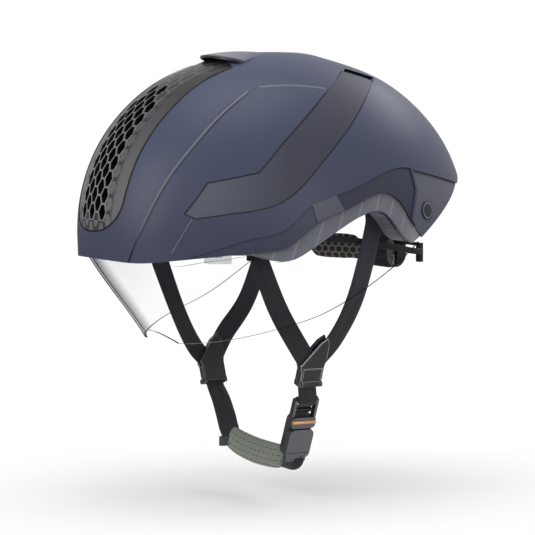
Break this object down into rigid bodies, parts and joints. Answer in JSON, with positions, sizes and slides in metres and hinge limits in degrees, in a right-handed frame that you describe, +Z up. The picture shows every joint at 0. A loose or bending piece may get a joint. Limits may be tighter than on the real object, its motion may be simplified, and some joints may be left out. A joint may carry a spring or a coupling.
{
  "type": "aero time trial helmet",
  "caption": "Smooth aero cycling helmet with honeycomb front vent, clear pull-off visor, crown scoop, dial retention, strap dividers and padded chin strap with a side-release buckle.",
  "frame": {"origin": "centre of the head opening, on the level of the front rim, where a head enters", "axes": "+Z up, -Y to the front, +X to the wearer's left"},
  "size_m": [0.2122, 0.2808, 0.2928],
  "materials": {
    "shell_navy": "matte",
    "inlay_grey": "satin",
    "vent_graphite": "satin",
    "badge_dark": "gloss",
    "foam_grey": "matte",
    "lens_smoke": "clear, light smoke tint",
    "dark_plastic": "matte",
    "dial_plastic": "satin",
    "magnet_steel": "satin",
    "pad_knit": "knitted",
    "grid_pad_knit": "knitted",
    "hook_fabric": "matte",
    "strap_web": "woven",
    "chin_knit": "knitted",
    "divider_plastic": "satin",
    "buckle_graphite": "satin",
    "copper": "satin"
  },
  "bodies": {
    "helmet": {"brow_pad": "pad_knit", "buckle_bar": "copper", "buckle_catch": "buckle_graphite", "catch_magnet": "magnet_steel", "chin_pad": "chin_knit", "chin_strap": "strap_web", "cradle_hanger": "dark_plastic", "cradle_yoke": "dark_plastic", "crown_scoop": "shell_navy", "dial_housing": "dial_plastic", "divider_base_left": "divider_plastic", "divider_base_right": "divider_plastic", "divider_face_left": "divider_plastic", "divider_face_right": "divider_plastic", "divider_pin_left": "magnet_steel", "divider_pin_right": "magnet_steel", "eps_liner": "foam_grey", "front_strap_anchors": "dark_plastic", "front_strap_left": "strap_web", "front_strap_right": "strap_web", "front_vent_cover": "vent_graphite", "grid_pad": "grid_pad_knit", "headband_left": "dark_plastic", "headband_pegs": "dark_plastic", "headband_right": "dark_plastic", "hook_loop_patches": "hook_fabric", "housing_cover": "dark_plastic", "ladder_bars": "buckle_graphite", "liner_magnets": "magnet_steel", "lower_strap_left": "strap_web", "outer_shell": "shell_navy", "rear_pad_left": "pad_knit", "rear_pad_right": "pad_knit", "rear_strap_anchors": "dark_plastic", "rear_strap_left": "strap_web", "rear_strap_right": "strap_web", "side_inlay_left": "inlay_grey", "side_inlay_right": "inlay_grey", "strap_tail": "strap_web", "tail_badges": "badge_dark", "visor_docks": "dark_plastic"},
    "visor": {"visor_lens": "lens_smoke", "visor_magnet_pads": "dark_plastic", "visor_magnets": "magnet_steel"},
    "dial": {"dial_knob": "dial_plastic", "dial_pinion": "dial_plastic", "dial_screw": "magnet_steel"},
    "rack_left_slide": {"rack_left": "dial_plastic"},
    "rack_right_slide": {"rack_right": "dial_plastic"},
    "lever_left": {"divider_lever_left": "divider_plastic"},
    "lever_right": {"divider_lever_right": "divider_plastic"},
    "tongue": {"buckle_tongue": "buckle_graphite", "tongue_magnet": "magnet_steel"}
  },
  "joints": [
    {"name": "visor_pull", "type": "slide", "parent": "helmet", "child": "visor", "axis": [0, 0, -1], "range_m": [0, 0.12]},
    {"name": "dial_turn", "type": "hinge", "parent": "helmet", "child": "dial", "pos_m": [0, 0.099, 0.005], "axis": [0, -1, 0], "range_deg": [0, 180]},
    {"name": "rack_left_pull", "type": "slide", "parent": "helmet", "child": "rack_left_slide", "axis": [-1, 0, 0], "range_m": [0, 0.0158], "deforming": ["headband_left"]},
    {"name": "rack_right_pull", "type": "slide", "parent": "helmet", "child": "rack_right_slide", "axis": [1, 0, 0], "range_m": [0, 0.0158], "deforming": ["headband_right"]},
    {"name": "lever_left_turn", "type": "hinge", "parent": "helmet", "child": "lever_left", "pos_m": [0.06967, -0.0048, -0.07873], "axis": [0, 1, 0], "range_deg": [0, 75]},
    {"name": "lever_right_turn", "type": "hinge", "parent": "helmet", "child": "lever_right", "pos_m": [-0.06967, -0.0048, -0.09054], "axis": [0, -1, 0], "range_deg": [0, 75]},
    {"name": "buckle_release", "type": "slide", "parent": "helmet", "child": "tongue", "axis": [0, -1, 0], "range_m": [0, 0.022], "deforming": ["chin_strap", "chin_pad"]}
  ],
  "couplings": [
    {"joint": "rack_left_pull", "follows": "dial_turn", "m_per_rad": 0.005},
    {"joint": "rack_right_pull", "follows": "dial_turn", "m_per_rad": 0.005}
  ]
}
